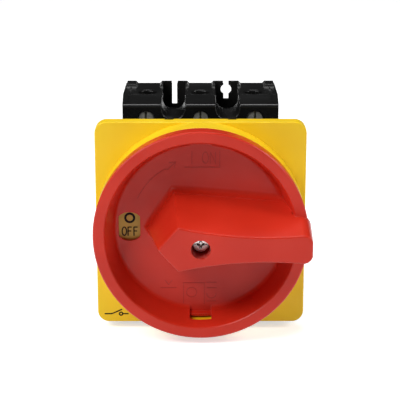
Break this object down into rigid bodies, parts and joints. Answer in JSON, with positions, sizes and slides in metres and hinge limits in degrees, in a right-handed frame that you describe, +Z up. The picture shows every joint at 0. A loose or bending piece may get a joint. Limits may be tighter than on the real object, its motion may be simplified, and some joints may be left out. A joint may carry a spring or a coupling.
{
  "type": "rotary isolator switch",
  "caption": "Door-mounted rotary isolator: red dished handle with a grip bar on a yellow square plate and collar, black terminal block behind, quarter turn closes the contacts.",
  "frame": {"origin": "on the shaft's axis, at the front surface of the door panel (the back face of the mounting frame)", "axes": "+Z up with the pointer at 9 o'clock for off, +Y into the panel along the shaft, +X to the right seen from the front"},
  "size_m": [0.0915, 0.108, 0.0954],
  "materials": {
    "yellow_plastic": "satin moulded",
    "red_plastic": "satin moulded",
    "legend_film": "printed film",
    "black_plastic": "moulded thermoset",
    "black_rubber": "soft",
    "natural_nylon": "moulded",
    "zinc_steel": "zinc plated",
    "bright_screw": "nickel plated",
    "spring_steel": "bright",
    "copper": "bare copper",
    "silver": "silver alloy"
  },
  "bodies": {
    "switch_base": {"front_plate": "yellow_plastic", "locking_collar": "yellow_plastic", "collar_screws": "zinc_steel", "legend_plate": "legend_film", "shaft_seal": "black_rubber", "mounting_frame": "black_plastic", "panel_gasket": "black_rubber", "frame_screws": "zinc_steel", "mechanism_housing": "black_plastic", "shaft_bush": "natural_nylon", "mechanism_cover": "black_plastic", "index_springs": "spring_steel", "contact_housing_front": "black_plastic", "contact_housing_rear": "black_plastic", "assembly_screws": "zinc_steel", "line_terminal_1": "copper", "line_terminal_2": "copper", "line_terminal_3": "copper", "load_terminal_1": "copper", "load_terminal_2": "copper", "load_terminal_3": "copper", "fixed_contact_tips": "silver", "terminal_clamps": "zinc_steel", "pressure_saddles": "zinc_steel", "terminal_screws": "zinc_steel", "arc_plates": "zinc_steel"},
    "rotor": {"handle": "red_plastic", "handle_screw": "bright_screw", "handle_washer": "zinc_steel", "drive_shaft": "zinc_steel", "index_cam": "natural_nylon", "cam_drum": "natural_nylon", "drum_pin": "zinc_steel"},
    "bridge_slide": {"bridge_carrier": "natural_nylon", "follower_pins": "zinc_steel", "contact_bridge_1": "copper", "contact_bridge_2": "copper", "contact_bridge_3": "copper", "moving_contact_tips": "silver", "contact_springs": "spring_steel"}
  },
  "joints": [
    {"name": "handle_turn", "type": "hinge", "parent": "switch_base", "child": "rotor", "pos_m": [0, 0, 0], "axis": [0, 1, 0], "range_deg": [0, 90], "deforming": ["index_springs"]},
    {"name": "carrier_slide", "type": "slide", "parent": "switch_base", "child": "bridge_slide", "axis": [0, 1, 0], "range_m": [0, 0.00601]}
  ],
  "couplings": [
    {"joint": "carrier_slide", "follows": "handle_turn", "m_per_rad": 0.0038197}
  ]
}
